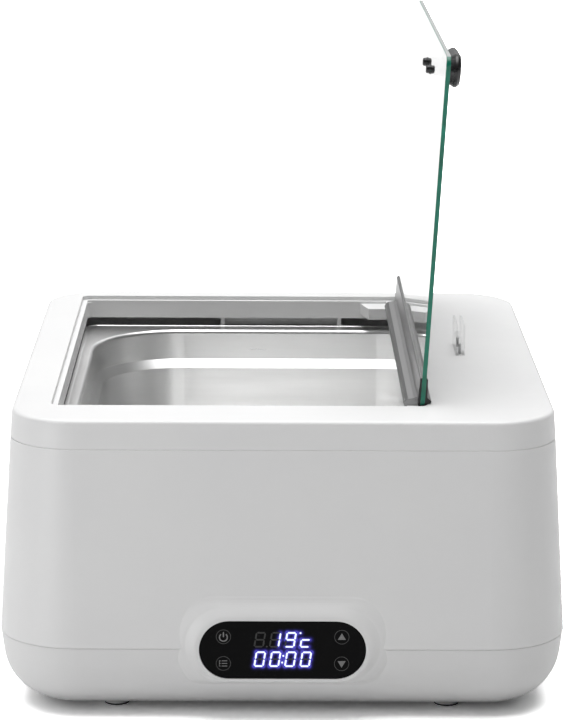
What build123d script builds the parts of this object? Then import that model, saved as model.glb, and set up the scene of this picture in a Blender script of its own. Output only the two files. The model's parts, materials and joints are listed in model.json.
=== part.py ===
from build123d import *
import math
import os

os.makedirs("parts", exist_ok=True)

# Water bath, mm. The origin is the centre of the footprint on the table; +X is the user's right,
# +Y the back and +Z up. The glass lid is drawn open, leaning on its stop.

# ---- driving dimensions ----
SEAM_W, SEAM_D, SEAM_R = 490.0, 590.0, 60.0  # housing outline at the cover seam
FLARE = 11.0  # how far each side spreads from the cover seam down to the base seam
COVER_LEAN = 2.0  # how far each side of the cover leans in up to the deck
BASE_STEP = 0.5  # how far the base stands inside the shell above it
BASE_TAPER = 7.0  # degrees
BASE_EDGE_R = 50.0
DECK_EDGE_R = 4.0
WALL = 3.0
FOOT_H = 5.0
BASE_SEAM_Z = 68.5
COVER_SEAM_Z = 248.0
DECK_Z = 274.0
SEAM_GROOVE = 0.6

OPENING = (-208.5, 130.0, -233.0, 268.0)  # deck opening: x from, x to, y from, y to
OPENING_R = 8.0
LEDGE_W = 5.0
GLASS_T = 4.0
GLASS_GAP = 0.3
LEDGE_Z = DECK_Z - GLASS_T - GLASS_GAP
SKIRT_Z = 251.5

TANK = (-191.0, 191.0, -212.0, 247.0)  # rolled edge of the tank
TANK_R = 90.0
TANK_T = 1.0
FLANGE = (-205.5, 205.5, -230.0, 265.0)
FLANGE_Z = 241.5
BACK_RIBS = (-61.0, 62.5)  # webs of the cover that reach down to the tank's flange
BEAD_W, BEAD_H = 1.4, 1.5  # raised rim of the tank's flange
TANK_DEPTH = 150.0
SHOULDER_Z = (202.5, 211.0)
SHOULDER_W = 7.0

HINGE_X, HINGE_Z = 117.5, 265.0
LID_LEAN = 3.4  # degrees past upright
LID_LENGTH = 324.5  # from the hinge axis to the free edge
LID_Y = (-231.5, 266.5)
JAW_Y = (-226.5, 261.5)
GLASS_V = (5.0, 9.0)  # inner and outer face of the glass, from the hinge axis
GLASS_U = 8.2  # lower edge of the glass, up the lid from the hinge axis
JAW_STEP_Z = HINGE_Z + 2.4  # top of the hinge bosses where the closed jaw lies over them
BARREL_Y = (-212.0, 233.0)
BARREL_R = 6.0
PIN_R = 2.5
PIN_PLAY = 0.05

KNOB_U, KNOB_Y = 285.8, 17.5
KNOB_L, KNOB_H, KNOB_OUT = 84.0, 32.0, 25.0
KNOB_SCREW_PITCH = 58.0

CLIP_X, CLIP_Y, CLIP_L = 172.2, 5.0, 54.0
CLIP_W, CLIP_H, CLIP_SLOT, CLIP_SLOT_DEPTH = 8.8, 29.0, 4.6, 16.0

PANEL_W, PANEL_H, PANEL_T, PANEL_Z = 148.0, 53.0, 2.2, 69.1
CONSOLE_Y = -310.0
REAR_PAD_Y = 306.0
FOOT_PLACES = [(x, y) for x in (-150, 150) for y in (-248, 248)]
POST_PLACES = [(x, y) for x in (-199, 199) for y in (-212, 248)]
COVER_SCREWS = [(-226, -130), (-226, 150), (222, -190), (222, 190), (-40, -262), (130, -262)]
CLIP_SCREWS = [(CLIP_X, CLIP_Y + side * 16) for side in (-1, 1)]
CASE_SCREWS = [(x, y) for x in (-232, 232) for y in (-140, 140)]


def rect(box, z, r, grow=0.0):
    """A rounded rectangle sketch on the level z, from a box of x and y limits."""
    x0, x1, y0, y1 = box
    middle = Plane(origin=((x0 + x1) / 2, (y0 + y1) / 2, z))
    with BuildSketch(middle) as made:
        RectangleRounded(x1 - x0 + 2 * grow, y1 - y0 + 2 * grow, max(r + grow, 1.0))
    return made.sketch


def outline(z, width, depth, radius, inset=0.0):
    """The housing's outline on the level z."""
    with BuildSketch(Plane.XY.offset(z)) as made:
        RectangleRounded(width - 2 * inset, depth - 2 * inset, radius - inset)
    return made.sketch


def facing_back(y):
    """A plane at depth y whose sketches read x to the right and z up, extruding to the front."""
    return Plane(origin=(0, y, 0), x_dir=(1, 0, 0), z_dir=(0, -1, 0))


def lid_section(y):
    """Section of the open lid at depth y: v points out of the glass, u runs up it from the hinge."""
    lean = math.radians(LID_LEAN)
    return Plane(
        origin=(HINGE_X, y, HINGE_Z), x_dir=(math.cos(lean), 0, -math.sin(lean)), z_dir=(0, -1, 0)
    )


def on_glass(v, u, y):
    """A plane parallel to the glass, v off the hinge axis and u up the lid, facing outwards."""
    section = lid_section(y)
    return Plane(origin=section.from_local_coords((v, u, 0)), x_dir=(0, 1, 0), z_dir=section.x_dir)


def screw(place, head_r, head_h, shank_r, length):
    """A pan head screw whose head stands on the plane and whose shank goes below it."""
    with BuildPart(place) as made:
        Cylinder(head_r, head_h, align=(Align.CENTER, Align.CENTER, Align.MIN))
        fillet(made.faces().sort_by(Axis(place.origin, place.z_dir))[-1].edges(), head_h * 0.45)
        Cylinder(shank_r, length, align=(Align.CENTER, Align.CENTER, Align.MAX))
    return made.part


def finish(builder, name):
    builder.part.label = name
    export_step(builder.part, f"parts/{name}.step")


# ---- tool shapes ----
SHELL_TAPER = math.degrees(math.atan(FLARE / (COVER_SEAM_Z - BASE_SEAM_Z)))
COVER_TAPER = math.degrees(math.atan(COVER_LEAN / (DECK_Z - COVER_SEAM_Z)))
FLOOR_Z = FOOT_H + WALL
BASE_SPREAD = FLARE - BASE_STEP
BASE_W, BASE_D, BASE_R = SEAM_W + 2 * BASE_SPREAD, SEAM_D + 2 * BASE_SPREAD, SEAM_R + BASE_SPREAD


def base_form(inset, floor_z, edge_r):
    """The base's bowl: walls leaning in towards the floor, with a large round edge under them."""
    height = BASE_SEAM_Z - floor_z
    shrink = height * math.tan(math.radians(BASE_TAPER))
    with BuildPart() as made:
        extrude(
            outline(floor_z, BASE_W, BASE_D, BASE_R, inset + shrink), amount=height, taper=-BASE_TAPER
        )
        fillet(made.faces().sort_by(Axis.Z)[0].edges(), edge_r)
    return made.part


def swell(back, depth, reach, spread):
    """Margin at which an S curve from the panel's edge has fallen back; past its depth it spreads."""
    fallen = min(back / depth, 1.0)
    across = 0.5 - math.sin(math.asin(1 - 2 * fallen) / 3)
    return CONSOLE_RIM + reach * across + spread * max(0.0, back - depth)


def console_form(sections):
    """A pill that widens from the front to the back. Each section is its depth y and its margins
    beside, above and below the panel."""
    with BuildPart() as made:
        for y, beside, above, below in sections:
            with BuildSketch(facing_back(y)):
                with Locations((0, PANEL_Z + (above - below) / 2)):
                    SlotOverall(PANEL_W + 2 * beside, PANEL_H + above + below)
        loft(ruled=True)
    return made.part


def pill(y, width, height, depth):
    """A pill of the control panel's outline, from depth y towards the front."""
    with BuildPart() as made:
        with BuildSketch(facing_back(y)):
            with Locations((0, PANEL_Z)):
                SlotOverall(width, height)
        extrude(amount=depth)
    return made.part


def post(x, y, z0, z1, radius):
    """An upright round post."""
    with BuildPart() as made:
        with BuildSketch(Plane((x, y, z0))):
            Circle(radius)
        extrude(amount=z1 - z0)
    return made.part


def block(x0, x1, y0, y1, z0, z1):
    """A box between the given limits."""
    with BuildPart() as made:
        with BuildSketch(Plane(((x0 + x1) / 2, (y0 + y1) / 2, z0))):
            Rectangle(x1 - x0, y1 - y0)
        extrude(amount=z1 - z0)
    return made.part


CONSOLE_RIM = 2.5
console = console_form(
    [
        (CONSOLE_Y + back, swell(back, 4, 13, 4), swell(back, 6.4, 17, 3), swell(back, 12, 7, 0))
        for back in (0, 0.1, 0.35, 0.75, 1.3, 1.9, 2.5, 3.1, 3.6, 4, 4.8, 5.6, 6.2, 6.5, 8, 10, 12, 18)
    ]
)
console_cavity = console_form([(CONSOLE_Y + 32, 26, 26, 15), (CONSOLE_Y + 5.5, -2, -2, -2)])
lens_recess = pill(CONSOLE_Y + PANEL_T + 0.4, PANEL_W + 0.6, PANEL_H + 0.6, 20)
lens_window = pill(CONSOLE_Y + 20, PANEL_W - 16, PANEL_H - 12, 30)

# ---- housing ----
skirt_inner = tuple(edge + inward for edge, inward in zip(OPENING, (LEDGE_W, -LEDGE_W) * 2))
INNER_R = OPENING_R - 1

with BuildPart() as top_cover:
    extrude(outline(COVER_SEAM_Z, SEAM_W, SEAM_D, SEAM_R), amount=DECK_Z - COVER_SEAM_Z, taper=COVER_TAPER)
    fillet(top_cover.faces().sort_by(Axis.Z)[-1].edges(), DECK_EDGE_R)
    chamfer(top_cover.faces().sort_by(Axis.Z)[0].edges(), SEAM_GROOVE)
    extrude(
        outline(COVER_SEAM_Z, SEAM_W, SEAM_D, SEAM_R, WALL),
        amount=DECK_Z - WALL - COVER_SEAM_Z,
        taper=COVER_TAPER,
        mode=Mode.SUBTRACT,
    )
    extrude(rect(OPENING, LEDGE_Z - WALL, OPENING_R, 2.5), amount=DECK_Z - LEDGE_Z)
    extrude(rect(skirt_inner, SKIRT_Z, INNER_R, WALL), amount=DECK_Z - WALL - SKIRT_Z)
    for x, y in COVER_SCREWS:
        add(post(x, y, COVER_SEAM_Z, DECK_Z - 2, 4.5))
    extrude(rect(OPENING, LEDGE_Z, OPENING_R), amount=20, mode=Mode.SUBTRACT)
    extrude(rect(skirt_inner, SKIRT_Z - 5, INNER_R), amount=40, mode=Mode.SUBTRACT)
    for wall_y, inner_y, out in (
        (skirt_inner[2], BARREL_Y[0] - 1, -1),
        (skirt_inner[3], BARREL_Y[1] + 1, 1),
    ):
        with BuildSketch(Plane.XY.offset(HINGE_Z - 9)):
            with BuildLine():
                Polyline(
                    (skirt_inner[1] + 1, inner_y),
                    (HINGE_X - 25, inner_y),
                    (HINGE_X - 33, wall_y),
                    (HINGE_X - 33, wall_y + out),
                    (skirt_inner[1] + 1, wall_y + out),
                    close=True,
                )
            make_face()
        extrude(amount=LEDGE_Z - HINGE_Z + 9)
        ys = sorted((inner_y - out, wall_y))
        add(block(skirt_inner[0], HINGE_X - 5.5, *ys, JAW_STEP_Z, LEDGE_Z + 1), mode=Mode.SUBTRACT)
        with BuildSketch(Plane(origin=(HINGE_X, inner_y, HINGE_Z), z_dir=(0, out, 0))):
            Circle(PIN_R + 1.5)
        extrude(amount=12, mode=Mode.SUBTRACT)
    for x, y in COVER_SCREWS:
        add(post(x, y, COVER_SEAM_Z, DECK_Z - 6, 1.7), mode=Mode.SUBTRACT)
    for x, y in CLIP_SCREWS:
        add(post(x, y, DECK_Z - WALL - 1, DECK_Z + 1, 1.6), mode=Mode.SUBTRACT)
    for x in BACK_RIBS:
        add(block(x - 2, x + 2, OPENING[3] - 2.5, SEAM_D / 2 - WALL - 1, FLANGE_Z + 0.6, LEDGE_Z - 2))
    add(block(*BACK_RIBS, OPENING[3] + 6, OPENING[3] + 8.5, FLANGE_Z + 0.6, LEDGE_Z - 2))
    rim = top_cover.edges().filter_by(lambda e: abs(e.center().Z - DECK_Z) < 0.01)
    well_rim = rim.filter_by(lambda e: abs(e.center().X) < 225 and abs(e.center().Y) < 275)
    fillet(well_rim, 0.8)
finish(top_cover, "top_cover")

LUG_X, LUG_Y = SEAM_W / 2 - 1, SEAM_D / 2 - 1
with BuildPart() as main_shell:
    extrude(
        outline(BASE_SEAM_Z, SEAM_W + 2 * FLARE, SEAM_D + 2 * FLARE, SEAM_R + FLARE),
        amount=COVER_SEAM_Z - BASE_SEAM_Z,
        taper=SHELL_TAPER,
    )
    chamfer(main_shell.faces().sort_by(Axis.Z)[-1].edges(), SEAM_GROOVE)
    chamfer(main_shell.faces().sort_by(Axis.Z)[0].edges(), SEAM_GROOVE)
    add(console)
    split(bisect_by=Plane.XY.offset(BASE_SEAM_Z), keep=Keep.TOP)
    extrude(
        outline(BASE_SEAM_Z, SEAM_W + 2 * FLARE, SEAM_D + 2 * FLARE, SEAM_R + FLARE, WALL),
        amount=COVER_SEAM_Z - BASE_SEAM_Z,
        taper=SHELL_TAPER,
        mode=Mode.SUBTRACT,
    )
    add(block(112, 202, 290, REAR_PAD_Y, 82, 124))
    add(console_cavity, mode=Mode.SUBTRACT)
    add(lens_recess, mode=Mode.SUBTRACT)
    add(lens_window, mode=Mode.SUBTRACT)
    add(block(126.4, 153.6, 280, 320, 92.6, 113.4), mode=Mode.SUBTRACT)
    add(block(181.4, 194.6, 280, 320, 93.2, 112.8), mode=Mode.SUBTRACT)
    for x in (120, 160):
        with BuildSketch(facing_back(320)):
            with Locations((x, 103)):
                Circle(1.3)
        extrude(amount=40, mode=Mode.SUBTRACT)
    for x, y in COVER_SCREWS:
        if abs(x) > 200:
            xs, ys = sorted((x - math.copysign(7, x), math.copysign(LUG_X, x))), (y - 7, y + 7)
        else:
            xs, ys = (x - 7, x + 7), sorted((y - math.copysign(7, y), math.copysign(LUG_Y, y)))
        add(block(*xs, *ys, COVER_SEAM_Z - 12, COVER_SEAM_Z))
        add(post(x, y, COVER_SEAM_Z - 20, COVER_SEAM_Z + 1, 2.2), mode=Mode.SUBTRACT)
    for x, y in CASE_SCREWS:
        xs = sorted((x - math.copysign(7, x), x + math.copysign(20, x)))
        add(block(*xs, y - 7, y + 7, BASE_SEAM_Z, 86))
        add(post(x, y, BASE_SEAM_Z - 1, 83, 1.7), mode=Mode.SUBTRACT)
finish(main_shell, "main_shell")

base_cavity = base_form(WALL, FLOOR_Z, BASE_EDGE_R - WALL)
base_outer = base_form(0, FOOT_H, BASE_EDGE_R)
with BuildPart() as base_shell:
    add(base_outer)
    chamfer(base_shell.faces().sort_by(Axis.Z)[-1].edges(), SEAM_GROOVE)
    add(console)
    split(bisect_by=Plane.XY.offset(BASE_SEAM_Z), keep=Keep.BOTTOM)
    add(base_cavity, mode=Mode.SUBTRACT)
    add(console_cavity, mode=Mode.SUBTRACT)
    add(lens_recess, mode=Mode.SUBTRACT)
    add(lens_window, mode=Mode.SUBTRACT)
    for x, y in POST_PLACES:
        add(post(x, y, FLOOR_Z - 1, 22, 9))
    for x, y in CASE_SCREWS:
        add(post(x, y, FOOT_H, BASE_SEAM_Z, 7) & base_outer)
        add(post(x, y, 0, 56, 4.2), mode=Mode.SUBTRACT)
        add(post(x, y, 0, BASE_SEAM_Z + 1, 2.2), mode=Mode.SUBTRACT)
    for x, y in FOOT_PLACES:
        add(post(x, y, FLOOR_Z - 1, FLOOR_Z + 8, 6))
        add(post(x, y, 0, FLOOR_Z + 6, 1.7), mode=Mode.SUBTRACT)
    with BuildSketch(Plane.XY):
        with GridLocations(60, 14, 3, 14):
            SlotOverall(44, 4)
    extrude(amount=FLOOR_Z + 1, mode=Mode.SUBTRACT)
finish(base_shell, "base_shell")

# ---- feet and screws ----
with BuildPart() as rubber_feet:
    for x, y in FOOT_PLACES:
        with BuildSketch(Plane((x, y, 0))):
            Circle(11.5)
        extrude(amount=FOOT_H, taper=-9)
        add(post(x, y, -1, 3.5, 5.5), mode=Mode.SUBTRACT)
        add(post(x, y, 0, FOOT_H, 2.1), mode=Mode.SUBTRACT)
finish(rubber_feet, "rubber_feet")

with BuildPart() as foot_screws:
    for x, y in FOOT_PLACES:
        add(screw(Plane((x, y, 3.4), x_dir=(1, 0, 0), z_dir=(0, 0, -1)), 4.0, 2.4, 1.6, 9))
finish(foot_screws, "foot_screws")

with BuildPart() as case_screws:
    for x, y in CASE_SCREWS:
        add(screw(Plane((x, y, 56), x_dir=(1, 0, 0), z_dir=(0, 0, -1)), 3.8, 2.4, 1.6, 24))
finish(case_screws, "case_screws")

with BuildPart() as cover_screws:
    for x, y in COVER_SCREWS:
        low = Plane((x, y, COVER_SEAM_Z - 12), x_dir=(1, 0, 0), z_dir=(0, 0, -1))
        add(screw(low, 4.0, 2.4, 1.6, 28))
finish(cover_screws, "cover_screws")

# ---- tank and what carries it ----
TANK_FLOOR_Z = FLANGE_Z - TANK_DEPTH
LOWER_INSET = SHOULDER_W + 1.0
WALL_TAPER = 1.5  # degrees
SHOULDER_H = SHOULDER_Z[1] - SHOULDER_Z[0]


def tank_form(grow, edge_r):
    """The tank's inside, or its outside when grown by the sheet: pan, shoulder and upper wall."""
    with BuildPart() as made:
        floor_z = TANK_FLOOR_Z - grow
        wall_h = SHOULDER_Z[0] - floor_z
        floor_grow = grow - LOWER_INSET - wall_h * math.tan(math.radians(WALL_TAPER))
        extrude(rect(TANK, floor_z, TANK_R, floor_grow), amount=wall_h, taper=-WALL_TAPER)
        fillet(made.faces().sort_by(Axis.Z)[0].edges(), edge_r)
        shoulder = math.degrees(math.atan(SHOULDER_W / SHOULDER_H))
        extrude(rect(TANK, SHOULDER_Z[0], TANK_R, grow - LOWER_INSET), amount=SHOULDER_H, taper=-shoulder)
        upper_h = FLANGE_Z - SHOULDER_Z[1]
        upper = math.degrees(math.atan(1.0 / upper_h))
        extrude(rect(TANK, SHOULDER_Z[1], TANK_R, grow - 1.0), amount=upper_h, taper=-upper)
    return made.part


with BuildPart() as tank:
    add(tank_form(TANK_T, 26))
    extrude(rect(FLANGE, FLANGE_Z - TANK_T, 12), amount=TANK_T)
    neck = tank.edges().filter_by(lambda e: abs(e.center().Z - FLANGE_Z + TANK_T) < 0.01)
    neck = neck.filter_by(lambda e: FLANGE[0] + 4 < e.center().X < FLANGE[1] - 4)
    neck = neck.filter_by(lambda e: FLANGE[2] + 4 < e.center().Y < FLANGE[3] - 4)
    fillet(neck, 3.0)
    extrude(rect(FLANGE, FLANGE_Z, 12), amount=BEAD_H)
    extrude(rect(FLANGE, FLANGE_Z, 12, -BEAD_W), amount=BEAD_H, mode=Mode.SUBTRACT)
    fillet(tank.faces().sort_by(Axis.Z)[-1].edges(), BEAD_W * 0.45)
    add(tank_form(0, 25), mode=Mode.SUBTRACT)
    lip = tank.edges().filter_by(lambda e: abs(e.center().Z - FLANGE_Z) < 0.01)
    lip = lip.filter_by(lambda e: FLANGE[0] + 4 < e.center().X < FLANGE[1] - 4)
    lip = lip.filter_by(lambda e: FLANGE[2] + 4 < e.center().Y < FLANGE[3] - 4)
    fillet(lip, 4.0)
finish(tank, "tank")

GASKET_T = 2.5
FRAME_T = 2.0
gasket_z = FLANGE_Z - TANK_T - GASKET_T
frame_z = gasket_z - FRAME_T
with BuildPart() as tank_gasket:
    extrude(rect(FLANGE, gasket_z, 12, -1), amount=GASKET_T)
    extrude(rect(TANK, gasket_z - 1, TANK_R, 6), amount=GASKET_T + 2, mode=Mode.SUBTRACT)
    for x, y in POST_PLACES:
        add(post(x, y, gasket_z, FLANGE_Z, 5), mode=Mode.SUBTRACT)
finish(tank_gasket, "tank_gasket")

with BuildPart() as tank_frame:
    extrude(rect(FLANGE, frame_z, 16, 5), amount=FRAME_T)
    extrude(rect(FLANGE, frame_z - 10, 16, 5), amount=10)
    extrude(rect(FLANGE, frame_z - 10, 14, 3), amount=10, mode=Mode.SUBTRACT)
    extrude(rect(TANK, frame_z - 11, TANK_R, 5), amount=FRAME_T + 12, mode=Mode.SUBTRACT)
    for x, y in POST_PLACES:
        add(post(x, y, frame_z - 1, FLANGE_Z, 2.2), mode=Mode.SUBTRACT)
finish(tank_frame, "tank_frame")

with BuildPart() as tank_posts:
    for x, y in POST_PLACES:
        add(post(x, y, 22, frame_z, 6))
        add(post(x, y, frame_z - 12, frame_z, 1.6), mode=Mode.SUBTRACT)
finish(tank_posts, "tank_posts")

with BuildPart() as post_screws:
    for x, y in POST_PLACES:
        add(post(x, y, frame_z - 10, frame_z + FRAME_T, 1.6))
        add(post(x, y, frame_z + FRAME_T, gasket_z + GASKET_T - 0.3, 3.5))
finish(post_screws, "post_screws")

# ---- heating, under the tank ----
heater_top = TANK_FLOOR_Z - TANK_T
PLATE_T, MAT_T = 4.0, 2.0
HEATER = (-150.0, 108.0, -170.0, 205.0)
heat_x, heat_y = (HEATER[0] + HEATER[1]) / 2, (HEATER[2] + HEATER[3]) / 2
plate_z = heater_top - PLATE_T
mat_z = plate_z - MAT_T

with BuildPart() as heater_plate:
    extrude(rect(HEATER, plate_z, 30), amount=PLATE_T)
finish(heater_plate, "heater_plate")

with BuildPart() as heater_mat:
    extrude(rect(HEATER, mat_z, 24, -8), amount=MAT_T)
    for x, y in ((heat_x, heat_y), (heat_x, heat_y - 90)):
        add(post(x, y, mat_z, plate_z, 17), mode=Mode.SUBTRACT)
finish(heater_mat, "heater_mat")

with BuildPart() as thermal_cutout:
    add(post(heat_x, heat_y, plate_z - 3, plate_z, 12))
    add(post(heat_x, heat_y, plate_z - 13, plate_z - 3, 8))
    for side in (-4, 4):
        tab_x = heat_x + side
        add(block(tab_x - 0.4, tab_x + 0.4, heat_y - 3, heat_y + 3, plate_z - 20, plate_z - 13))
finish(thermal_cutout, "thermal_cutout")

with BuildPart() as temperature_sensor:
    with BuildSketch(facing_back(heat_y - 78)):
        with Locations((heat_x, plate_z - 3)):
            Circle(3)
    extrude(amount=26)
    add(block(heat_x - 9, heat_x + 9, heat_y - 96, heat_y - 88, plate_z - 1.2, plate_z))
finish(temperature_sensor, "temperature_sensor")

WRAP_T = 7.0
with BuildPart() as insulation_wrap:
    extrude(rect(TANK, 100, TANK_R, WRAP_T - 6.5), amount=96)
    extrude(rect(TANK, 99, TANK_R, -6.5), amount=98, mode=Mode.SUBTRACT)
finish(insulation_wrap, "insulation_wrap")

PAD_TOP_Z = 66.0
with BuildPart() as insulation_pad:
    extrude(rect(HEATER, PAD_TOP_Z - 20, 30, 6), amount=20)
finish(insulation_pad, "insulation_pad")

with BuildPart() as heat_shield:
    extrude(rect(HEATER, PAD_TOP_Z - 21.2, 31, 7.2), amount=16)
    extrude(rect(HEATER, PAD_TOP_Z - 20, 30, 6), amount=40, mode=Mode.SUBTRACT)
    for x in (HEATER[0] + 30, HEATER[1] - 30):
        for y in (HEATER[2] + 30, HEATER[3] - 30):
            add(post(x, y, FLOOR_Z, PAD_TOP_Z - 21.2, 5))
finish(heat_shield, "heat_shield")

# ---- mains electronics, on the floor under the deck ----
BOARD = (118.0, 196.0, -150.0, 10.0)
BOARD_Z, BOARD_T = 24.0, 1.6
board_top = BOARD_Z + BOARD_T
board_corners = [(x, y) for x in (BOARD[0] + 6, BOARD[1] - 6) for y in (BOARD[2] + 6, BOARD[3] - 6)]

TERMINAL_X = [132.5 + 11 * slot for slot in range(5)]

with BuildPart() as power_board:
    extrude(rect(BOARD, BOARD_Z, 2), amount=BOARD_T)
    for x, y in board_corners:
        add(post(x, y, BOARD_Z, board_top, 1.8), mode=Mode.SUBTRACT)
finish(power_board, "power_board")

with BuildPart() as board_standoffs:
    for x, y in board_corners:
        add(post(x, y, FLOOR_Z, BOARD_Z, 3.5))
        add(post(x, y, BOARD_Z, board_top, 1.6))
        add(post(x, y, board_top, board_top + 2, 3.0))
finish(board_standoffs, "board_standoffs")

with BuildPart() as board_components:
    add(block(126, 162, -138, -100, board_top, board_top + 30))
    add(block(168, 188, -132, -104, board_top, board_top + 16))
    add(block(128, 150, -88, -60, board_top, board_top + 22))
    add(post(172, -80, board_top, board_top + 26, 8))
    add(post(172, -56, board_top, board_top + 18, 5))
    for x in TERMINAL_X:
        add(block(x - 4.5, x + 4.5, -14, 0, board_top, board_top + 12))
finish(board_components, "board_components")

with BuildPart() as heat_sink:
    add(block(124, 156, -48, -24, board_top, board_top + 4))
    for fin in range(5):
        add(block(124 + 7.5 * fin, 126 + 7.5 * fin, -48, -24, board_top + 4, board_top + 24))
finish(heat_sink, "heat_sink")

# ---- control panel ----
LENS_Y = CONSOLE_Y + 0.4
lens_back = LENS_Y + PANEL_T
PCB_Y = lens_back + 8.0
pcb_back = PCB_Y + BOARD_T
KEYS = [(x, z) for x in (-52.5, 52.5) for z in (PANEL_Z - 12.3, PANEL_Z + 12.8)]

with BuildPart() as control_panel:
    add(pill(lens_back, PANEL_W, PANEL_H, PANEL_T))
    chamfer(control_panel.faces().sort_by(Axis.Y)[0].edges(), 0.4)
finish(control_panel, "control_panel")

with BuildPart() as touch_pads:
    for x, z in KEYS:
        with BuildSketch(facing_back(PCB_Y)):
            with Locations((x, z)):
                Circle(5)
        extrude(amount=PCB_Y - lens_back)
finish(touch_pads, "touch_pads")

with BuildPart() as led_display:
    add(block(-34, 34, lens_back + 0.4, PCB_Y, PANEL_Z - 18, PANEL_Z + 18))
finish(led_display, "led_display")

with BuildPart() as display_board:
    with BuildSketch(facing_back(pcb_back)):
        with Locations((0, PANEL_Z)):
            RectangleRounded(126, 36, 3)
    extrude(amount=BOARD_T)
finish(display_board, "display_board")

with BuildPart() as display_bracket:
    for side in (-1, 1):
        xs = sorted((side * 60, side * 63))
        add(block(*xs, pcb_back, pcb_back + 6, PANEL_Z - 15, PANEL_Z + 15))
    add(block(-63, 63, pcb_back + 6, pcb_back + 8, PANEL_Z - 15, PANEL_Z + 15))
finish(display_bracket, "display_bracket")

# ---- lid ----
glass_mid_u = (GLASS_U + LID_LENGTH) / 2
with BuildPart() as lid_glass:
    with BuildSketch(on_glass(GLASS_V[0], glass_mid_u, (LID_Y[0] + LID_Y[1]) / 2)):
        RectangleRounded(LID_Y[1] - LID_Y[0], LID_LENGTH - GLASS_U, 9)
        for side in (-1, 1):
            with Locations((side * KNOB_SCREW_PITCH / 2, KNOB_U - glass_mid_u)):
                Circle(2.6, mode=Mode.SUBTRACT)
    extrude(amount=GLASS_T)
    faces = lid_glass.faces().filter_by(Plane(origin=(0, 0, 0), z_dir=lid_section(0).x_dir))
    chamfer(faces.edges().filter_by(lambda e: e.length > 12), 0.35)
finish(lid_glass, "lid_glass")


def jaw_section(y, depth, profile):
    """One extruded stretch of the hinge profile, from depth y towards the front."""
    with BuildPart() as made:
        with BuildSketch(lid_section(y)):
            with BuildLine():
                Polyline(*profile, close=True)
            make_face()
        extrude(amount=depth)
    return made.part


JAW_U = 33.0  # how far the jaws reach up the glass
INNER_V, OUTER_V = GLASS_V[0], GLASS_V[1]
jaws = [
    (INNER_V, JAW_U),
    (INNER_V - 0.9, JAW_U),
    (INNER_V - 1.6, JAW_U - 1),
    (INNER_V - 2.0, 9.0),
    (INNER_V - 1.2, 6.8),
    (OUTER_V, 6.8),
    (OUTER_V + 0.6, 7.8),
    (OUTER_V + 3.3, 10.6),
    (OUTER_V + 6.0, 10.9),
    (OUTER_V + 6.0, 12.6),
    (OUTER_V + 2.2, 15.5),
    (OUTER_V + 1.6, JAW_U - 1),
    (OUTER_V + 0.9, JAW_U),
    (OUTER_V, JAW_U),
    (OUTER_V, GLASS_U - 0.2),
    (INNER_V, GLASS_U - 0.2),
]
barrel_cover = [
    (INNER_V - 1.9, 13.0),
    (0.0, 11.4),
    (-5.0, 10.2),
    (-7.6, 8.4),
    (-8.8, 5.4),
    (-BARREL_R * 0.94, -2.0),
    (BARREL_R * 0.8, -2.0),
    (BARREL_R * 0.97, 1.5),
    (OUTER_V - 2.5, 4.8),
    (OUTER_V - 0.6, 6.6),
    (OUTER_V - 0.6, GLASS_U - 0.4),
    (INNER_V - 0.2, GLASS_U - 0.4),
    (INNER_V - 0.2, 13.0),
]
CAP_T = 3.0
with BuildPart() as jaw_caps:
    add(jaw_section(JAW_Y[0] + CAP_T, CAP_T, jaws))
    add(jaw_section(JAW_Y[1], CAP_T, jaws))
finish(jaw_caps, "jaw_caps")

with BuildPart() as hinge_profile:
    add(jaw_section(JAW_Y[1] - CAP_T, JAW_Y[1] - JAW_Y[0] - 2 * CAP_T, jaws))
    add(jaw_section(BARREL_Y[1], BARREL_Y[1] - BARREL_Y[0], barrel_cover))
    with BuildSketch(lid_section(BARREL_Y[1])):
        Circle(BARREL_R)
    extrude(amount=BARREL_Y[1] - BARREL_Y[0])
    with BuildSketch(lid_section(BARREL_Y[1] + 1)):
        Circle(PIN_R + PIN_PLAY)
    extrude(amount=BARREL_Y[1] - BARREL_Y[0] + 2, mode=Mode.SUBTRACT)
finish(hinge_profile, "hinge_profile")

with BuildPart() as hinge_pins:
    for end_y, inward in ((BARREL_Y[0], 1), (BARREL_Y[1], -1)):
        with BuildSketch(Plane(origin=(HINGE_X, end_y - inward * 12.5, HINGE_Z), z_dir=(0, inward, 0))):
            Circle(PIN_R)
        extrude(amount=32)
finish(hinge_pins, "hinge_pins")

with BuildPart() as hinge_bushes:
    for end_y, inward in ((BARREL_Y[0], 1), (BARREL_Y[1], -1)):
        with BuildSketch(Plane(origin=(HINGE_X, end_y - inward * 13, HINGE_Z), z_dir=(0, inward, 0))):
            Circle(PIN_R + 1.5)
            Circle(PIN_R, mode=Mode.SUBTRACT)
        extrude(amount=12)
        with BuildSketch(Plane(origin=(HINGE_X, end_y - inward * 0.3, HINGE_Z), z_dir=(0, -inward, 0))):
            Circle(PIN_R + 2.0)
            Circle(PIN_R, mode=Mode.SUBTRACT)
        extrude(amount=0.7)
finish(hinge_bushes, "hinge_bushes")


def knob_ring(out, length, height):
    """A stadium section of the knob, at a distance out from the glass."""
    with BuildSketch(on_glass(OUTER_V + out, KNOB_U, KNOB_Y)) as made:
        SlotOverall(length, height)
    return made.sketch


with BuildPart() as lid_knob:
    for levels in (
        ((0, 20), (14, 20)),
        ((14, 6), (19, 0)),
        ((19, 0), (21.5, 0)),
        ((21.5, 0), (24.4, 5)),
        ((24.4, 5), (KNOB_OUT, 13)),
    ):
        loft(sections=[knob_ring(out, KNOB_L - less, KNOB_H - less) for out, less in levels])
    for side in (-1, 1):
        with BuildSketch(on_glass(OUTER_V - 1, KNOB_U, KNOB_Y + side * KNOB_SCREW_PITCH / 2)):
            Circle(1.7)
        extrude(amount=14, mode=Mode.SUBTRACT)
finish(lid_knob, "lid_knob")

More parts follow.
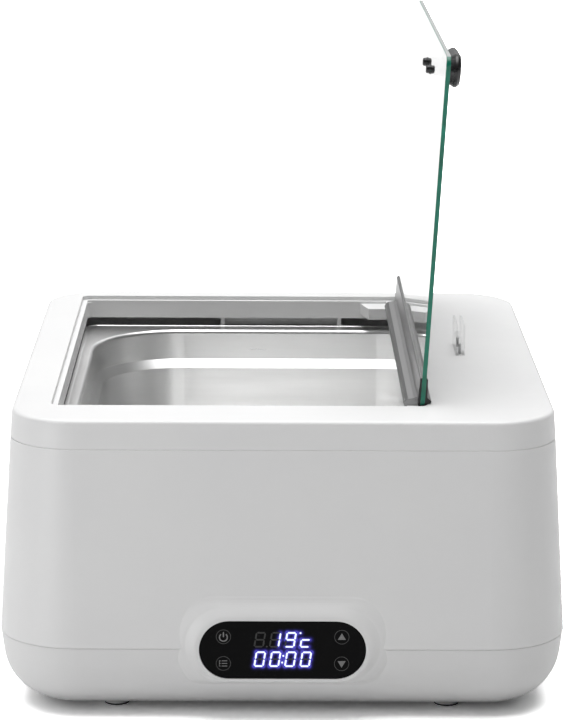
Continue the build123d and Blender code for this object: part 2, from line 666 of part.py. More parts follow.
KNOB_WASHER_T = 1.0
with BuildPart() as knob_screws:
    for side in (-1, 1):
        centre = on_glass(INNER_V - KNOB_WASHER_T, KNOB_U, KNOB_Y + side * KNOB_SCREW_PITCH / 2)
        head = Plane(origin=centre.origin, x_dir=(0, 1, 0), z_dir=-centre.z_dir)
        add(screw(head, 3.9, 3.2, 1.6, GLASS_T + KNOB_WASHER_T + 9))
finish(knob_screws, "knob_screws")

with BuildPart() as knob_washers:
    for side in (-1, 1):
        with BuildSketch(on_glass(INNER_V - KNOB_WASHER_T, KNOB_U, KNOB_Y + side * KNOB_SCREW_PITCH / 2)):
            Circle(4.6)
            Circle(1.7, mode=Mode.SUBTRACT)
        extrude(amount=KNOB_WASHER_T)
finish(knob_washers, "knob_washers")

with BuildPart() as knob_sleeves:
    for side in (-1, 1):
        with BuildSketch(on_glass(INNER_V, KNOB_U, KNOB_Y + side * KNOB_SCREW_PITCH / 2)):
            Circle(2.5)
            Circle(1.7, mode=Mode.SUBTRACT)
        extrude(amount=GLASS_T)
finish(knob_sleeves, "knob_sleeves")

# ---- clip on the deck ----
with BuildPart() as deck_clip:
    with BuildSketch(facing_back(CLIP_Y + CLIP_L / 2)):
        with Locations((CLIP_X, DECK_Z + CLIP_H / 2)):
            Rectangle(CLIP_W, CLIP_H)
        with Locations((CLIP_X, DECK_Z + CLIP_H)):
            Rectangle(CLIP_SLOT, 2 * CLIP_SLOT_DEPTH, mode=Mode.SUBTRACT)
    extrude(amount=CLIP_L)
    fillet(deck_clip.faces().sort_by(Axis.Z)[-2:].edges().filter_by(Axis.X), 1.5)
    for x, y in CLIP_SCREWS:
        add(post(x, y, DECK_Z - 1, DECK_Z + 10, 1.4), mode=Mode.SUBTRACT)
finish(deck_clip, "deck_clip")

with BuildPart() as clip_screws:
    for x, y in CLIP_SCREWS:
        under = Plane((x, y, DECK_Z - WALL), x_dir=(1, 0, 0), z_dir=(0, 0, -1))
        add(screw(under, 3.4, 2.2, 1.4, WALL + 9))
finish(clip_screws, "clip_screws")

# ---- mains inlet and switch ----
INLET_X, SWITCH_X, POWER_Z = 140.0, 188.0, 103.0


def behind_pad(x, half_w, half_h, back, front):
    """A box on the power pad, from its depth behind the pad to its reach in front of it."""
    return block(
        x - half_w, x + half_w, REAR_PAD_Y - back, REAR_PAD_Y + front, POWER_Z - half_h, POWER_Z + half_h
    )


INLET_PINS = [(INLET_X + x, POWER_Z + z) for x, z in ((-7, -2), (0, 2), (7, -2))]
with BuildPart() as power_inlet:
    with BuildSketch(facing_back(REAR_PAD_Y + 2.4)):
        with Locations((INLET_X, POWER_Z)):
            RectangleRounded(48, 24, 4)
    extrude(amount=2.4)
    add(behind_pad(INLET_X, 13.4, 10.2, 20, 0))
    add(behind_pad(INLET_X, 12, 8.2, 15, 3), mode=Mode.SUBTRACT)
    for x, z in INLET_PINS:
        add(block(x - 1, x + 1, REAR_PAD_Y - 20, REAR_PAD_Y - 15, z - 2, z + 2), mode=Mode.SUBTRACT)
    for side in (-1, 1):
        with BuildSketch(facing_back(REAR_PAD_Y + 3)):
            with Locations((INLET_X + side * 20, POWER_Z)):
                Circle(1.7)
        extrude(amount=5, mode=Mode.SUBTRACT)
finish(power_inlet, "power_inlet")

with BuildPart() as inlet_pins:
    for x, z in INLET_PINS:
        add(block(x - 1, x + 1, REAR_PAD_Y - 20, REAR_PAD_Y - 1, z - 2, z + 2))
        add(block(x - 0.4, x + 0.4, REAR_PAD_Y - 28, REAR_PAD_Y - 20, z - 2.4, z + 2.4))
finish(inlet_pins, "inlet_pins")

with BuildPart() as inlet_screws:
    for side in (-1, 1):
        face = Plane((INLET_X + side * 20, REAR_PAD_Y + 2.4, POWER_Z), x_dir=(1, 0, 0), z_dir=(0, 1, 0))
        add(screw(face, 2.6, 1.4, 1.25, 9))
finish(inlet_screws, "inlet_screws")

ROCKER_Y, ROCKER_TILT = REAR_PAD_Y - 0.6, 9.0
with BuildPart() as switch_body:
    with BuildSketch(facing_back(REAR_PAD_Y + 2.0)):
        with Locations((SWITCH_X, POWER_Z)):
            RectangleRounded(15, 21.4, 1.5)
    extrude(amount=2.0)
    add(behind_pad(SWITCH_X, 6.5, 9.7, 18, 0))
    add(behind_pad(SWITCH_X, 5.4, 8.9, 9, 3), mode=Mode.SUBTRACT)
    with BuildSketch(Plane(origin=(SWITCH_X - 6.6, ROCKER_Y, POWER_Z), z_dir=(1, 0, 0))):
        Circle(0.75)
    extrude(amount=13.2, mode=Mode.SUBTRACT)
    for z in (POWER_Z - 6, POWER_Z + 6):
        add(block(SWITCH_X - 3, SWITCH_X + 3, REAR_PAD_Y - 26, REAR_PAD_Y - 18, z - 0.4, z + 0.4))
finish(switch_body, "switch_body")

with BuildPart() as power_rocker:
    tilt = math.radians(ROCKER_TILT)
    along = (0, math.sin(tilt), -math.cos(tilt))
    rocker_outline = [(-8, 3.4), (0, 2.2), (8, 3.4), (8, -2), (3, -5), (-3, -5), (-8, -2)]
    with BuildSketch(Plane(origin=(SWITCH_X - 5.1, ROCKER_Y, POWER_Z), x_dir=along, z_dir=(1, 0, 0))):
        with BuildLine():
            Polyline(*rocker_outline, close=True)
        make_face()
    extrude(amount=10.2)
    with BuildSketch(Plane(origin=(SWITCH_X - 6.4, ROCKER_Y, POWER_Z), z_dir=(1, 0, 0))):
        Circle(0.7)
    extrude(amount=12.8)
finish(power_rocker, "power_rocker")


# ---- wiring inside the housing ----
def wire(points, radius, bends):
    """A round insulated wire along straight runs joined by arcs."""
    with BuildPart() as made:
        with BuildLine() as route:
            FilletPolyline(*points, radius=bends)
        with BuildSketch(route.wire().location_at(0)):
            Circle(radius)
        sweep()
    return made.part


with BuildPart() as inlet_wires:
    for index, (x, z) in enumerate(INLET_PINS):
        end_x = TERMINAL_X[2 + index]
        route = [
            (x, REAR_PAD_Y - 28, z),
            (x, 262, z),
            (x, 256, 62),
            (end_x, 190, 48),
            (end_x, 60, 44),
            (end_x, 26, 32),
            (end_x, 0, 32),
        ]
        add(wire(route, 1.2, 12))
finish(inlet_wires, "inlet_wires")

with BuildPart() as heater_wires:
    for index in range(2):
        x, y = TERMINAL_X[index], 18 + 8 * index
        mat_edge = HEATER[1] - 8
        route = [(x, 0, 32), (x, y, 32), (x - 4, y + 6, mat_z + 0.7), (mat_edge, y + 6, mat_z + 0.7)]
        add(wire(route, 1.2, 6))
finish(heater_wires, "heater_wires")

with BuildPart() as display_cable:
    route = [
        (40, pcb_back + 8, PANEL_Z - 8),
        (40, -266, PANEL_Z - 8),
        (70, -225, 34),
        (100, -180, 34),
        (100, -119, 34),
        (126, -119, 34),
    ]
    add(wire(route, 2.0, 9))
finish(display_cable, "display_cable")
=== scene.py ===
"""Looks of a laboratory water bath with a glass lid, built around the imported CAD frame.

Metres throughout, in the frame of the CAD: +X the user's right, +Y the back, +Z up.
"""
import json
import math

import bmesh
import bpy
from mathutils import Matrix, Vector


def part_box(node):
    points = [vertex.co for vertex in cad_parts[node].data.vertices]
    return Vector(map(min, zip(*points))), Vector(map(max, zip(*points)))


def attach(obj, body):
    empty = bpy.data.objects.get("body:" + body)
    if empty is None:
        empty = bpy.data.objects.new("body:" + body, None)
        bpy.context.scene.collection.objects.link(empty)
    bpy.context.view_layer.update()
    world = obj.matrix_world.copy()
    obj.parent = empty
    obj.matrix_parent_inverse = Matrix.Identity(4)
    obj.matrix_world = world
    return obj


MM = 0.001

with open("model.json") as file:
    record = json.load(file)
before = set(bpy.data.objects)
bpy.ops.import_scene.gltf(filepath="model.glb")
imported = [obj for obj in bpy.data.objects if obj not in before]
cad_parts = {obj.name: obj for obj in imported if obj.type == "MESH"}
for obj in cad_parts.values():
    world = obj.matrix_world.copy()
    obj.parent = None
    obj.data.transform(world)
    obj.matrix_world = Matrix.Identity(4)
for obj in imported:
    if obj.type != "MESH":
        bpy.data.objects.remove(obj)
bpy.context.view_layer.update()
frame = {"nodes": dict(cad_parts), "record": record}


# ---------------------------------------------------------------- shader helpers


class Shader:
    """A material's node tree, with one line for each node."""

    def __init__(self, name):
        self.material = bpy.data.materials.new(name)
        self.material.use_nodes = True
        self.tree = self.material.node_tree
        self.tree.nodes.clear()
        self.output = self.tree.nodes.new("ShaderNodeOutputMaterial")

    def node(self, kind, settings=None, **sockets):
        """Adds a node. A socket is named, or numbered as _0, and takes a value or an output socket."""
        made = self.tree.nodes.new("ShaderNode" + kind)
        for key, value in (settings or {}).items():
            setattr(made, key, value)
        for key, value in sockets.items():
            socket = made.inputs[int(key[1:]) if key[1:].isdigit() else key.replace("_", " ")]
            if isinstance(value, bpy.types.NodeSocket):
                self.tree.links.new(value, socket)
            else:
                socket.default_value = value
        return made

    def position(self):
        """Place on the object, in metres."""
        return self.node("TexCoord").outputs["Object"]

    def stretched(self, x, y, z):
        """Object position scaled by axis, for a grain that runs one way."""
        return self.node("Mapping", Vector=self.position(), Scale=(x, y, z)).outputs["Vector"]

    def noise(self, scale, detail=3.0, vector=None, roughness=0.5):
        """Cloudy noise from 0 to 1, scale cells in a metre."""
        made = self.node("TexNoise", Vector=vector or self.position(), Scale=scale, Detail=detail,
                         Roughness=roughness)
        return made.outputs["Fac"]

    def ramp(self, factor, *stops):
        """A colour or grey ramp; each stop is (place, value), a value a grey or an (r, g, b)."""
        made = self.node("ValToRGB", Fac=factor)
        elements = made.color_ramp.elements
        while len(elements) < len(stops):
            elements.new(0.5)
        for element, (place, value) in zip(elements, stops):
            element.position = place
            rgb = value if isinstance(value, tuple) else (value, value, value)
            element.color = (*rgb, 1.0)
        return made.outputs["Color"]

    def bump(self, height, distance, normal=None):
        """A normal raised by height, over the finer normal that it is given."""
        made = self.node("Bump", Height=height, Distance=distance)
        if normal is not None:
            self.tree.links.new(normal, made.inputs["Normal"])
        return made.outputs["Normal"]

    def principled(self, **sockets):
        return self.node("BsdfPrincipled", **sockets)

    def finish(self, surface):
        """Ends the tree in the surface's shader node and gives the material."""
        self.tree.links.new(surface.outputs[0], self.output.inputs["Surface"])
        return self.material


def rgb(r, g, b):
    return (r, g, b, 1.0)


def moulded(name, light, dark, gloss, rough, grain, depth, specular=0.5):
    """Moulded plastic or rubber: a faint drift in tone, an uneven sheen and a spark-eroded grain."""
    s = Shader(name)
    tone = s.ramp(s.noise(9.0, 4.0), (0.3, dark), (0.7, light))
    sheen = s.ramp(s.noise(60.0, 5.0), (0.3, gloss), (0.75, rough))
    fine = s.noise(grain, 2.0)
    broad = s.noise(grain * 0.22, 3.0)
    normal = s.bump(fine, depth, normal=s.bump(broad, depth * 1.5))
    return s.finish(s.principled(Base_Color=tone, Roughness=sheen, Normal=normal,
                                 **{"Specular IOR Level": specular}))


def metal(name, light, dark, gloss, rough, grain, depth, metallic=1.0):
    """Metal with a fine grain: grain is the scale along x, y and z."""
    s = Shader(name)
    streak = s.noise(1.0, 5.0, s.stretched(*grain), 0.65)
    tone = s.ramp(streak, (0.25, dark), (0.75, light))
    sheen = s.ramp(s.noise(1.0, 4.0, s.stretched(*(g * 0.4 for g in grain))), (0.25, gloss), (0.8, rough))
    return s.finish(s.principled(Base_Color=tone, Metallic=metallic, Roughness=sheen,
                                 Normal=s.bump(streak, depth)))


# ---------------------------------------------------------------- the record's finishes


FACE_COSINE = 0.8  # a normal this near the lid's own belongs to a face of the glass
FREE_EDGE_COSINE = 0.9


def clear_glass(lid_normal, up_the_lid):
    """Float glass: clear faces, side edges where the green of the body shows, a pale free edge."""
    s = Shader("lid_glass")
    normal = s.node("TexCoord").outputs["Normal"]
    smear = s.ramp(s.noise(14.0, 5.0), (0.45, 0.0), (0.9, 0.035))
    clear = s.principled(Base_Color=rgb(0.95, 0.965, 0.958), Transmission_Weight=1.0, IOR=1.5,
                         Roughness=smear, Specular_Tint=rgb(0.93, 0.93, 0.93),
                         **{"Specular IOR Level": 0.25})
    depth = s.ramp(s.noise(1.0, 4.0, s.stretched(90.0, 60.0, 60.0)),
                   (0.3, (0.002, 0.135, 0.080)), (0.75, (0.004, 0.27, 0.175)))
    edge = s.principled(Base_Color=depth, Transmission_Weight=0.12, IOR=1.5, Roughness=0.30,
                        Normal=s.bump(s.noise(900.0, 2.0), 0.00004))
    facing = s.node("VectorMath", {"operation": "DOT_PRODUCT"}, _0=normal, _1=lid_normal).outputs["Value"]
    size = s.node("Math", {"operation": "ABSOLUTE"}, _0=facing).outputs[0]
    is_face = s.node("Math", {"operation": "GREATER_THAN"}, _0=size, _1=FACE_COSINE).outputs[0]
    polish = s.ramp(s.noise(1.0, 4.0, s.stretched(60.0, 90.0, 60.0)),
                    (0.3, (0.40, 0.42, 0.415)), (0.7, (0.48, 0.50, 0.495)))
    pale = s.principled(Base_Color=polish, IOR=1.5, Roughness=0.3)
    upward = s.node("VectorMath", {"operation": "DOT_PRODUCT"}, _0=normal, _1=up_the_lid).outputs["Value"]
    is_free = s.node("Math", {"operation": "GREATER_THAN"}, _0=upward, _1=FREE_EDGE_COSINE).outputs[0]
    edges = s.node("MixShader", _0=is_free, _1=edge.outputs[0], _2=pale.outputs[0])
    mixed = s.node("MixShader", _0=is_face, _1=edges.outputs[0], _2=clear.outputs[0])
    return s.finish(mixed)


def acrylic():
    """Clear acrylic with polished faces and faint scuffs."""
    s = Shader("clear_acrylic")
    scuff = s.ramp(s.noise(1.0, 6.0, s.stretched(300.0, 40.0, 300.0), 0.7), (0.5, 0.03), (0.8, 0.16))
    return s.finish(s.principled(Base_Color=rgb(0.72, 0.73, 0.73), Alpha=0.14, IOR=1.3, Roughness=scuff))


def circuit():
    """Solder-masked board with a trace of copper showing through."""
    s = Shader("circuit_board")
    tracks = s.node("TexVoronoi", {"distance": "MANHATTAN"}, Vector=s.position(), Scale=260.0)
    cells = tracks.outputs["Distance"]
    tone = s.ramp(cells, (0.2, (0.012, 0.10, 0.035)), (0.5, (0.02, 0.17, 0.06)))
    return s.finish(s.principled(Base_Color=tone, Roughness=s.ramp(s.noise(300.0), (0.3, 0.3), (0.7, 0.5)),
                                 Normal=s.bump(cells, 0.00005)))


def fibre():
    """Woven glass or mineral wool blanket."""
    s = Shader("insulation")
    threads = s.noise(1.0, 6.0, s.stretched(500.0, 120.0, 500.0), 0.7)
    tone = s.ramp(threads, (0.3, (0.48, 0.44, 0.34)), (0.7, (0.72, 0.68, 0.56)))
    return s.finish(s.principled(Base_Color=tone, Roughness=s.ramp(threads, (0.3, 0.8), (0.7, 0.95)),
                                 Normal=s.bump(threads, 0.0008)))


FOOT_DARK_BAND = 1.6 * MM  # height of the black band at the bottom of a foot, where it meets the floor


def foot():
    """A rubber foot, grey above and black in its lowest part, where it meets the floor."""
    s = Shader("black_rubber")
    height = s.node("SeparateXYZ", _0=s.position()).outputs["Z"]
    # black in the foot's lowest 1.6 mm, where it meets the floor, and grey above that
    above_band = s.node("Math", {"operation": "GREATER_THAN"}, _0=height, _1=FOOT_DARK_BAND).outputs[0]
    dark_band = s.ramp(s.noise(700.0), (0.3, (0.016, 0.016, 0.017)), (0.7, (0.03, 0.03, 0.032)))
    tone = s.node("MixRGB", Fac=above_band, Color1=dark_band, Color2=rgb(0.55, 0.55, 0.55)).outputs["Color"]
    return s.finish(s.principled(Base_Color=tone, Roughness=s.ramp(s.noise(300.0), (0.3, 0.55), (0.7, 0.8)),
                                 Normal=s.bump(s.noise(900.0, 2.0), 0.0001)))


LID_LEAN = math.radians(3.4)  # how far the open lid leans past upright
FINISHES = {
    "white_housing": moulded("white_housing", (0.79, 0.79, 0.788), (0.77, 0.77, 0.772), 0.36, 0.46,
                             1500.0, 0.00003),
    "black_rubber": foot(),
    "black_plastic": moulded("black_plastic", (0.016, 0.016, 0.018), (0.009, 0.009, 0.010), 0.22, 0.38,
                             900.0, 0.00004),
    "black_gloss": moulded("black_gloss", (0.0022, 0.0022, 0.0025), (0.0012, 0.0012, 0.0014), 0.05, 0.10,
                           120.0, 0.000004, specular=0.05),
    "display_block": moulded("display_block", (0.03, 0.03, 0.035), (0.02, 0.02, 0.022), 0.3, 0.45,
                             600.0, 0.00003),
    "white_silicone": moulded("white_silicone", (0.68, 0.68, 0.67), (0.60, 0.60, 0.59), 0.5, 0.7,
                              400.0, 0.00008),
    "red_silicone": moulded("red_silicone", (0.50, 0.060, 0.030), (0.38, 0.035, 0.020), 0.45, 0.65,
                            380.0, 0.0002),
    "wire_sleeve": moulded("wire_sleeve", (0.60, 0.58, 0.54), (0.45, 0.43, 0.40), 0.45, 0.6,
                           900.0, 0.00005),
    "steel_hardware": metal("steel_hardware", (0.60, 0.60, 0.61), (0.42, 0.42, 0.43), 0.22, 0.42,
                            (420.0, 420.0, 900.0), 0.00002),
    "black_steel": metal("black_steel", (0.034, 0.034, 0.036), (0.018, 0.018, 0.019), 0.2, 0.36,
                         (300.0, 60.0, 300.0), 0.00003, metallic=0.35),
    "grey_profile": metal("grey_profile", (0.40, 0.40, 0.40), (0.36, 0.36, 0.365), 0.34, 0.44,
                          (900.0, 8.0, 900.0), 0.000012),
    "stainless_tank": metal("stainless_tank", (0.90, 0.90, 0.897), (0.87, 0.87, 0.867), 0.27, 0.35,
                            (14.0, 14.0, 300.0), 0.000002),
    "zinc_sheet": metal("zinc_sheet", (0.66, 0.67, 0.69), (0.46, 0.47, 0.50), 0.32, 0.52,
                        (70.0, 70.0, 70.0), 0.00006),
    "aluminium_plate": metal("aluminium_plate", (0.75, 0.75, 0.76), (0.60, 0.60, 0.61), 0.3, 0.45,
                             (40.0, 600.0, 600.0), 0.00003),
    "brass_pins": metal("brass_pins", (0.80, 0.60, 0.26), (0.62, 0.44, 0.17), 0.2, 0.4,
                        (500.0, 500.0, 200.0), 0.00002),
    "insulation": fibre(),
    "circuit_board": circuit(),
    "lid_glass": clear_glass((math.cos(LID_LEAN), 0.0, -math.sin(LID_LEAN)),
                             (math.sin(LID_LEAN), 0.0, math.cos(LID_LEAN))),
    "clear_acrylic": acrylic(),
}

for subpart in frame["record"]["subparts"]:
    for mesh_slot in frame["nodes"][subpart["node"]].material_slots:
        mesh_slot.material = FINISHES[subpart["material_slot"]]


# ---------------------------------------------------------------- the control panel's face

panel_low, panel_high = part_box("control_panel")
PANEL_FACE_Y = panel_low.y
PANEL_X = (panel_low.x + panel_high.x) / 2
PANEL_Z = (panel_low.z + panel_high.z) / 2
PRINT_T = 0.05 * MM  # thickness of a printed or inlaid mark

DIGIT_W, DIGIT_H = 9.2 * MM, 14.4 * MM
DIGIT_STROKE = 1.5 * MM
DIGIT_SLANT = math.tan(math.radians(9))
DIGIT_PITCH = 13.6 * MM
SEGMENT_GAP = 0.22 * MM
DOT_R = 0.85 * MM
ROW_Z = (PANEL_Z + 9.6 * MM, PANEL_Z - 8.4 * MM)  # temperature above, time below
DISPLAY_X = PANEL_X + 0.2 * MM
SEGMENTS = {"8": "abcdefg", "0": "abcdef", "9": "abcdfg", "1": "bc", "c": "deg", " ": ""}

# How far each layer of the panel's face stands before the panel.
WINDOW_FRONT, INK_FRONT, UNLIT_FRONT, LIT_FRONT = 0.03 * MM, 0.08 * MM, 0.10 * MM, 0.12 * MM


def new_piece(name, mesh):
    """Makes an object of a bmesh, puts it in the scene and frees the bmesh."""
    data = bpy.data.meshes.new(name)
    mesh.to_mesh(data)
    mesh.free()
    piece = bpy.data.objects.new(name, data)
    bpy.context.scene.collection.objects.link(piece)
    return piece


def flat_piece(name, outlines, material, front):
    """Thin marks on the panel: each outline is a list of (x, z), raised to stand front before it."""
    mesh = bmesh.new()
    for outline in outlines:
        face = mesh.faces.new([mesh.verts.new((x, PANEL_FACE_Y - front, z)) for x, z in outline])
        if face.normal.y > 0:
            face.normal_flip()
        raised = bmesh.ops.extrude_face_region(mesh, geom=[face])
        for vertex in [v for v in raised["geom"] if isinstance(v, bmesh.types.BMVert)]:
            vertex.co.y += PRINT_T
    bmesh.ops.recalc_face_normals(mesh, faces=mesh.faces)
    piece = new_piece(name, mesh)
    piece.data.materials.append(material)
    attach(piece, "housing")


def bar(start, end, width):
    """A hexagonal segment between two points, with pointed ends."""
    a, b = Vector(start), Vector(end)
    along = (b - a).normalized() * (width / 2)
    across = Vector((-along.y, along.x))
    return [a, a + along + across, b - along + across, b, b - along - across, a + along - across]


def segment_lines(x, z):
    """End points of the seven segments of a digit centred on (x, z), before the slant."""
    w, h, gap = (DIGIT_W - DIGIT_STROKE) / 2, (DIGIT_H - DIGIT_STROKE) / 2, SEGMENT_GAP
    left, right, low, high = x - w, x + w, z - h, z + h
    return {
        "a": ((left + gap, high), (right - gap, high)),
        "b": ((right, high - gap), (right, z + gap)),
        "c": ((right, z - gap), (right, low + gap)),
        "d": ((left + gap, low), (right - gap, low)),
        "e": ((left, z - gap), (left, low + gap)),
        "f": ((left, high - gap), (left, z + gap)),
        "g": ((left + gap, z), (right - gap, z)),
    }


def slanted(point, z):
    """A point of a digit moved by the slant, about the height z."""
    return (point[0] + (point[1] - z) * DIGIT_SLANT, point[1])


def disc(x, z, radius, sides=28):
    """A round dot as a many-sided outline."""
    turn = 2 * math.pi / sides
    return [(x + radius * math.cos(i * turn), z + radius * math.sin(i * turn)) for i in range(sides)]


def arc(x, z, radius, width, first, last, steps=40):
    """Quads along an arc, between two angles in degrees."""
    angles = [math.radians(first + (last - first) * i / steps) for i in range(steps + 1)]
    inner, outer = radius - width / 2, radius + width / 2
    ring = [[(x + r * math.cos(a), z + r * math.sin(a)) for r in (inner, outer)] for a in angles]
    return [[p[0], p[1], q[1], q[0]] for p, q in zip(ring, ring[1:])]


lit, unlit = [], []
glow_lines = []
for row_z, text, ghosts in ((ROW_Z[0], " 19c", "888 "), (ROW_Z[1], "0000", "8888")):
    for place, (shown, ghost) in enumerate(zip(text, ghosts)):
        digit_x = DISPLAY_X + (place - 1.5) * DIGIT_PITCH
        for letter, (start, end) in segment_lines(digit_x, row_z).items():
            ends = slanted(start, row_z), slanted(end, row_z)
            if letter in SEGMENTS[shown]:
                lit.append(bar(*ends, DIGIT_STROKE))
                glow_lines.append(ends)
            elif letter in SEGMENTS[ghost]:
                unlit.append(bar(*ends, DIGIT_STROKE))
degree = (DISPLAY_X + 15.6 * MM, ROW_Z[0] + 6.3 * MM)
colon = [slanted((DISPLAY_X, ROW_Z[1] + side * 3.1 * MM), ROW_Z[1]) for side in (-1, 1)]
for dot in (degree, *colon):
    lit.append(disc(*dot, DOT_R))
    glow_lines.append((dot, dot))
unlit.append(disc(DISPLAY_X - 14.2 * MM, ROW_Z[0] - 6.3 * MM, DOT_R))


def lamp(name, colour, strength, dim):
    """A display segment behind smoked plastic: even light with a slight drop at random places."""
    s = Shader(name)
    level = s.ramp(s.noise(400.0, 2.0), (0.3, tuple(c * dim for c in colour)), (0.7, colour))
    return s.finish(s.principled(Base_Color=rgb(0.01, 0.01, 0.012), Roughness=0.35, Emission_Color=level,
                                 Emission_Strength=strength))


def printed(name, light, dark):
    """Screen-printed ink: thin, matt and a little uneven."""
    s = Shader(name)
    tone = s.ramp(s.noise(1800.0, 3.0), (0.3, dark), (0.7, light))
    return s.finish(s.principled(Base_Color=tone, Roughness=s.ramp(s.noise(900.0), (0.3, 0.4), (0.7, 0.6))))


flat_piece("display_lit_segments", lit, lamp("display_lit", (0.72, 0.80, 1.0), 1.55, 0.92),
           LIT_FRONT)
flat_piece("display_unlit_segments", unlit, printed("display_unlit", 0.007, 0.005),
           UNLIT_FRONT)


WINDOW_W, WINDOW_H = 62 * MM, 41 * MM
WINDOW_CELL = 0.6 * MM  # mesh fine enough to carry the glow
GLOW_REACH = 2.1 * MM


def window_piece():
    """The smoked window behind the digits, with the glow that the lit segments throw into it."""
    columns, rows = round(WINDOW_W / WINDOW_CELL), round(WINDOW_H / WINDOW_CELL)
    mesh = bmesh.new()
    grid = []
    for j in range(rows + 1):
        z = PANEL_Z + (j / rows - 0.5) * WINDOW_H
        xs = [DISPLAY_X + (i / columns - 0.5) * WINDOW_W for i in range(columns + 1)]
        grid.append([mesh.verts.new((x, PANEL_FACE_Y - WINDOW_FRONT, z)) for x in xs])
    for low, high in zip(grid, grid[1:]):
        for i in range(columns):
            mesh.faces.new((low[i], low[i + 1], high[i + 1], high[i]))
    piece = new_piece("display_window", mesh)
    glow = piece.data.attributes.new("glow", "FLOAT", "POINT")
    for index, vertex in enumerate(piece.data.vertices):
        here = Vector((vertex.co.x, vertex.co.z))
        total = 0.0
        for start, end in glow_lines:
            a, b = Vector(start), Vector(end)
            span = b - a
            t = 0.0 if span.length == 0 else min(1.0, max(0.0, (here - a).dot(span) / span.length_squared))
            total += math.exp(-((here - a - span * t).length / GLOW_REACH) ** 2)
        glow.data[index].value = min(1.0, total)
    s = Shader("display_window")
    level = s.node("Attribute", {"attribute_name": "glow"}).outputs["Fac"]
    tint = s.ramp(level, (0.0, 0.0), (0.5, (0.020, 0.016, 0.13)), (1.0, (0.075, 0.065, 0.50)))
    surface = s.principled(Base_Color=rgb(0.002, 0.002, 0.0024), Emission_Color=tint, Emission_Strength=1.0,
                           Roughness=s.ramp(s.noise(120.0), (0.3, 0.06), (0.7, 0.1)),
                           **{"Specular IOR Level": 0.05})
    piece.data.materials.append(s.finish(surface))
    thick = piece.modifiers.new("thickness", "SOLIDIFY")
    thick.thickness = 0.02 * MM
    thick.offset = -1.0
    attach(piece, "housing")


window_piece()


# ---------------------------------------------------------------- the touch keys' rings and symbols

KEY_X, KEY_Z = 52.5 * MM, (PANEL_Z + 12.2 * MM, PANEL_Z - 12.5 * MM)
KEY_R = 6.4 * MM
RING_W = 0.45 * MM
key_places = [(PANEL_X + side * KEY_X, z) for side in (-1, 1) for z in KEY_Z]
SYMBOL_HALF = 3.6 * MM  # half the width of a symbol
rings = [quad for x, z in key_places for quad in arc(x, z, KEY_R, RING_W, 0, 360, 64)]


def power_symbol(x, z):
    """A ring open at the top, with a bar standing in the opening."""
    ring = arc(x, z - 0.5 * MM, 3.5 * MM, 1.15 * MM, 128, 412)
    return [*ring, bar((x, z - 0.6 * MM), (x, z + 4.6 * MM), 1.2 * MM)]


def list_symbol(x, z):
    """Three short and three long lines, joined by an upright on the left."""
    lines = []
    for step in (-1, 0, 1):
        line_z = z + step * 2.4 * MM
        lines.append(bar((x - 1.7 * MM, line_z), (x + SYMBOL_HALF, line_z), 0.75 * MM))
        lines.append(bar((x - 3.7 * MM, line_z), (x - 2.3 * MM, line_z), 0.75 * MM))
    left = x - SYMBOL_HALF
    return [*lines, bar((left, z - 2.9 * MM), (left, z + 2.9 * MM), 0.5 * MM)]


def arrow_symbol(x, z, up):
    """A filled triangle that points up where up is 1, and down where it is -1."""
    base_z = z - up * 2.5 * MM
    return [[(x - SYMBOL_HALF, base_z), (x + SYMBOL_HALF, base_z), (x, z + up * 3.7 * MM)]]


symbols = [
    *power_symbol(*key_places[0]),
    *list_symbol(*key_places[1]),
    *arrow_symbol(*key_places[2], 1),
    *arrow_symbol(*key_places[3], -1),
]
flat_piece("key_rings", rings, printed("key_ring_ink", 0.060, 0.045), INK_FRONT)
flat_piece("key_symbols", symbols, printed("key_symbol_ink", 0.20, 0.14), INK_FRONT)


# ---------------------------------------------------------------- floor, light and camera

FLOOR_RADIUS = 30.0
FLOOR_GAIN = 2.3  # the floor is overexposed to white, as in a studio sweep
FLOOR_THROUGH_GLASS = 0.80  # its tone behind the glass and the other clear parts
FLOOR_BOUNCE = 0.64  # what it gives back onto the object


def floor():
    """A pale round floor with a hint of unevenness, which camera, mirror and glass see apart."""
    mesh = bmesh.new()
    bmesh.ops.create_circle(mesh, cap_ends=True, segments=96, radius=FLOOR_RADIUS)
    piece = new_piece("studio_floor", mesh)
    s = Shader("studio_floor")
    pale = s.ramp(s.noise(1.5, 2.0), (0.3, 0.90), (0.7, 0.92))
    bright = s.node("MixRGB", {"blend_type": "MULTIPLY"}, Fac=1.0, Color1=pale,
                    Color2=rgb(*[FLOOR_GAIN] * 3)).outputs["Color"]
    ray = s.node("LightPath").outputs
    mirrored = s.node("MixRGB", Fac=ray["Is Glossy Ray"], Color1=bright, Color2=pale).outputs["Color"]
    behind_glass = s.node("MixRGB", Fac=ray["Is Transmission Ray"], Color1=mirrored,
                          Color2=rgb(*[FLOOR_THROUGH_GLASS] * 3)).outputs["Color"]
    tone = s.node("MixRGB", Fac=ray["Is Diffuse Ray"], Color1=behind_glass,
                  Color2=rgb(*[FLOOR_BOUNCE] * 3)).outputs["Color"]
    piece.data.materials.append(s.finish(s.node("BsdfDiffuse", Color=tone)))


SKY_LEAN = (-0.62, 0.40, 0.0)  # the studio is brighter to the left and behind
SKY_RISE = (0.35, 1.0)  # heights, as the sine of the angle up, between which the light rises


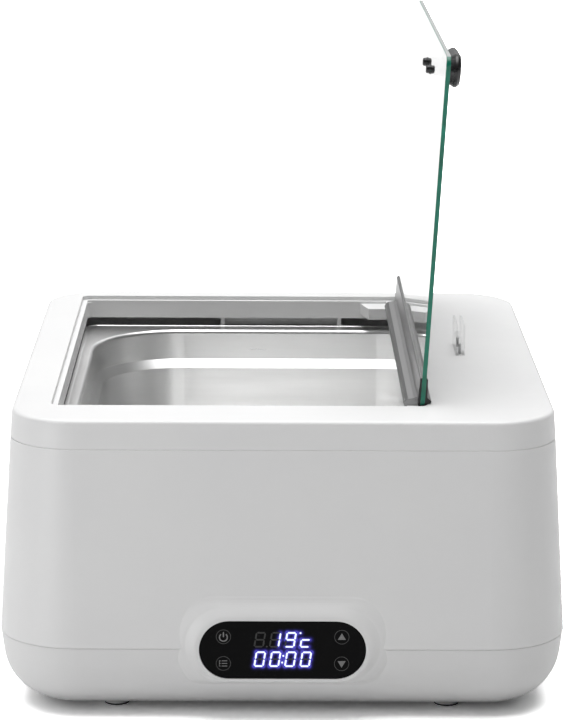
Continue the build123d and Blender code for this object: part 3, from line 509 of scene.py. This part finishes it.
def sky(zenith, horizon):
    """Studio light from all round, brighter overhead than at the horizon."""
    world = bpy.data.worlds.new("studio")
    bpy.context.scene.world = world
    world.use_nodes = True
    nodes, links = world.node_tree.nodes, world.node_tree.links
    direction = nodes.new("ShaderNodeTexCoord")
    split = nodes.new("ShaderNodeSeparateXYZ")
    ramp = nodes.new("ShaderNodeValToRGB")
    links.new(direction.outputs["Generated"], split.inputs[0])
    links.new(split.outputs["Z"], ramp.inputs["Fac"])
    for element, place, grey in zip(ramp.color_ramp.elements, SKY_RISE, (horizon, zenith)):
        element.position = place
        element.color = rgb(grey, grey, grey)
    lean = nodes.new("ShaderNodeVectorMath")
    lean.operation = "DOT_PRODUCT"
    lean.inputs[1].default_value = SKY_LEAN
    links.new(direction.outputs["Generated"], lean.inputs[0])
    level = nodes.new("ShaderNodeMath")
    level.inputs[1].default_value = 1.0
    links.new(lean.outputs["Value"], level.inputs[0])
    lit_sky = nodes.new("ShaderNodeVectorMath")
    lit_sky.operation = "MULTIPLY"
    links.new(ramp.outputs["Color"], lit_sky.inputs[0])
    links.new(level.outputs[0], lit_sky.inputs[1])
    links.new(lit_sky.outputs["Vector"], nodes["Background"].inputs["Color"])


def softbox(name, place, target, width, height, power):
    """A rectangular light that faces its target."""
    light = bpy.data.lights.new(name, "AREA")
    light.shape = "RECTANGLE"
    light.size, light.size_y = width, height
    light.energy = power
    lamp_object = bpy.data.objects.new(name, light)
    bpy.context.scene.collection.objects.link(lamp_object)
    lamp_object.location = place
    aim = Vector(target) - Vector(place)
    lamp_object.rotation_euler = aim.to_track_quat("-Z", "Y").to_euler()


def sun(name, direction, strength, spread):
    """A distant light along a direction; its spread is in degrees."""
    light = bpy.data.lights.new(name, "SUN")
    light.energy = strength
    light.angle = math.radians(spread)
    sun_object = bpy.data.objects.new(name, light)
    bpy.context.scene.collection.objects.link(sun_object)
    sun_object.rotation_euler = Vector(direction).to_track_quat("-Z", "Y").to_euler()


floor()
sky(0.40, 0.10)
sun("overhead_sun", (0.04, -0.07, -1.0), 3.35, 60.0)
softbox("left_softbox", (-1.15, -1.35, 0.14), (-0.1, -0.3, 0.12), 0.8, 0.3, 3.8)
softbox("back_softbox", (0.5, 2.2, 1.5), (0.0, 0.0, 0.2), 2.2, 1.2, 7.0)

CAMERA_PLACE = (-0.0201, -2.877, 0.902)
CAMERA_YAW, CAMERA_PITCH, CAMERA_ROLL = -0.396, -12.5, 0.313  # degrees
SENSOR_W, FOCAL_LENGTH = 36.0, 151.4  # mm
camera_data = bpy.data.cameras.new("camera")
camera_data.sensor_width = SENSOR_W
camera_data.lens = FOCAL_LENGTH
camera_data.clip_end = 100.0
camera = bpy.data.objects.new("camera", camera_data)
bpy.context.scene.collection.objects.link(camera)
camera.matrix_world = (
    Matrix.Translation(CAMERA_PLACE)
    @ Matrix.Rotation(math.radians(CAMERA_YAW), 4, "Z")
    @ Matrix.Rotation(math.radians(90 + CAMERA_PITCH), 4, "X")
    @ Matrix.Rotation(math.radians(CAMERA_ROLL), 4, "Z")
)
bpy.context.scene.camera = camera
bpy.context.scene.view_settings.view_transform = "Standard"
